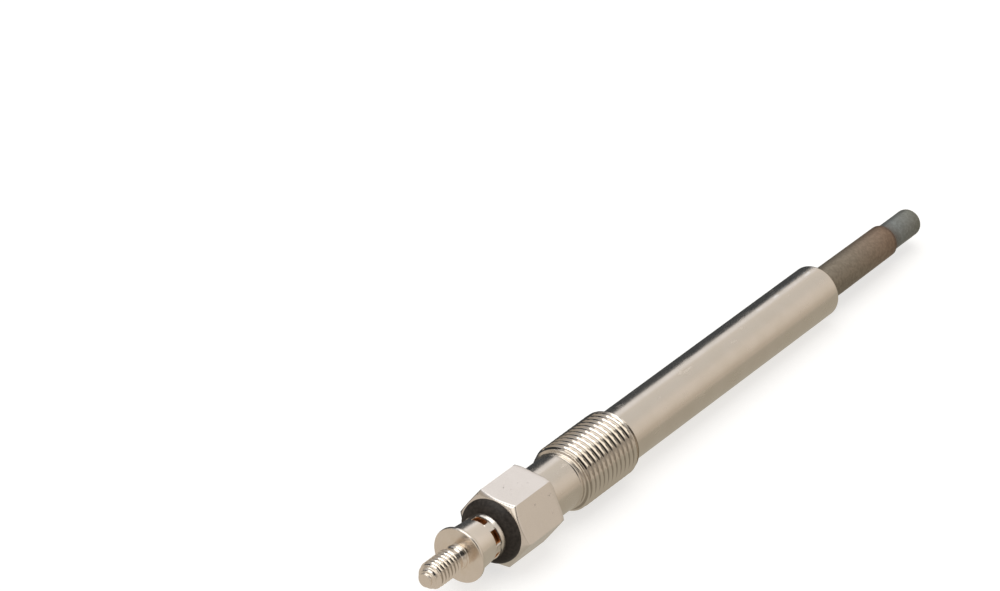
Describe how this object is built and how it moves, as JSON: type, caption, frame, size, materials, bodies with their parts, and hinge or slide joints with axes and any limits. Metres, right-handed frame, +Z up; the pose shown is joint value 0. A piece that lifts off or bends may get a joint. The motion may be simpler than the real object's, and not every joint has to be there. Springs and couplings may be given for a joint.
{
  "type": "diesel glow plug",
  "caption": "Long slim glow plug for a diesel engine: threaded terminal stud, hexagon, head thread, smooth barrel and a stepped heater tip, lying on its side.",
  "frame": {"origin": "on the axis, halfway along the thread that screws into the cylinder head", "axes": "+X along the axis towards the heater tip, +Z up out of one flat of the hexagon, +Y to the left of +X seen from above"},
  "size_m": [0.1215, 0.0116, 0.01],
  "materials": {
    "nickel_plate": "satin nickel plate on turned steel",
    "black_insulator": "matt black moulding",
    "seal_rubber": "matt black rubber",
    "bare_steel": "drawn steel",
    "heat_alloy": "heat-tinted alloy, brown to grey-blue",
    "magnesia": "packed white powder",
    "coil_wire": "bare resistance wire"
  },
  "bodies": {
    "root": {"housing": "nickel_plate", "terminal": "nickel_plate", "insulating_bush": "black_insulator", "o_ring": "seal_rubber", "centre_rod": "bare_steel", "heater_sheath": "heat_alloy", "sheath_seal": "seal_rubber", "magnesia_filling": "magnesia", "control_coil": "coil_wire", "heating_coil": "coil_wire"}
  },
  "joints": []
}
